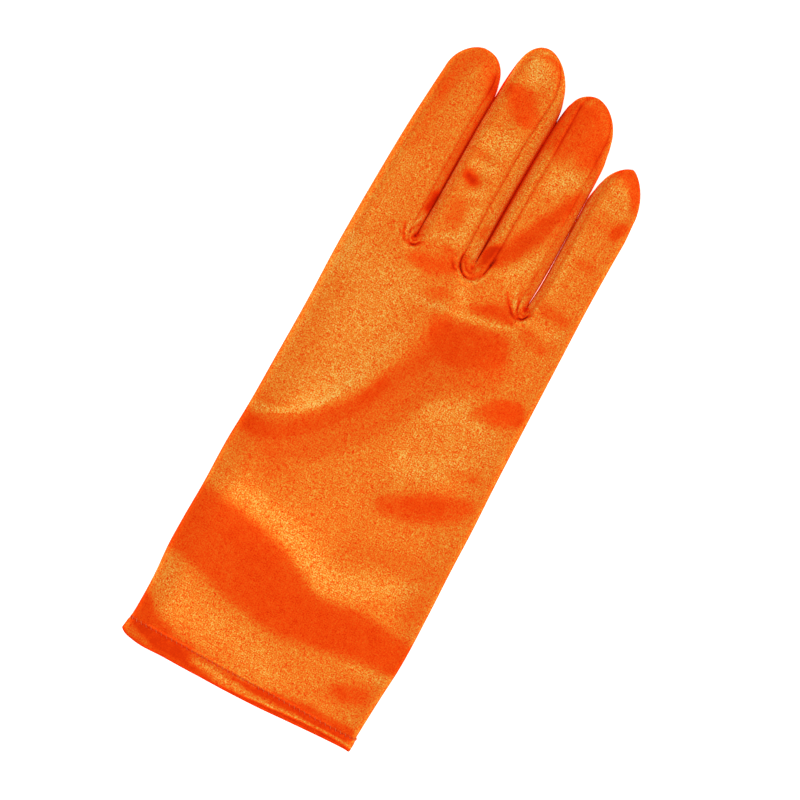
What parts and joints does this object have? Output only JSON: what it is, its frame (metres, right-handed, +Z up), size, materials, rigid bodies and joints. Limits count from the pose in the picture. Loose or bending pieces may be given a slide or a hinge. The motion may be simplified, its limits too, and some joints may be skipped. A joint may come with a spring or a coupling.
{
  "type": "wrist length dress glove",
  "caption": "Stretch satin dress glove for the right hand, lying empty with its back up, its fingers apart and its thumb folded under the palm, with strips between the fingers and a turned hem.",
  "frame": {"origin": "middle of the bounding box, on the surface that the glove lies on", "axes": "+Y along the fingers towards their tips, +X from the index finger towards the little finger, +Z up out of the back of the hand"},
  "size_m": [0.0862, 0.234, 0.0129],
  "materials": {
    "satin": "satin",
    "strip_satin": "satin",
    "hem_satin": "satin"
  },
  "bodies": {
    "root": {"glove_body": "satin", "fourchette_index_middle": "strip_satin", "fourchette_middle_ring": "strip_satin", "fourchette_ring_little": "strip_satin", "thumb": "satin", "cuff_hem": "hem_satin"}
  },
  "joints": []
}
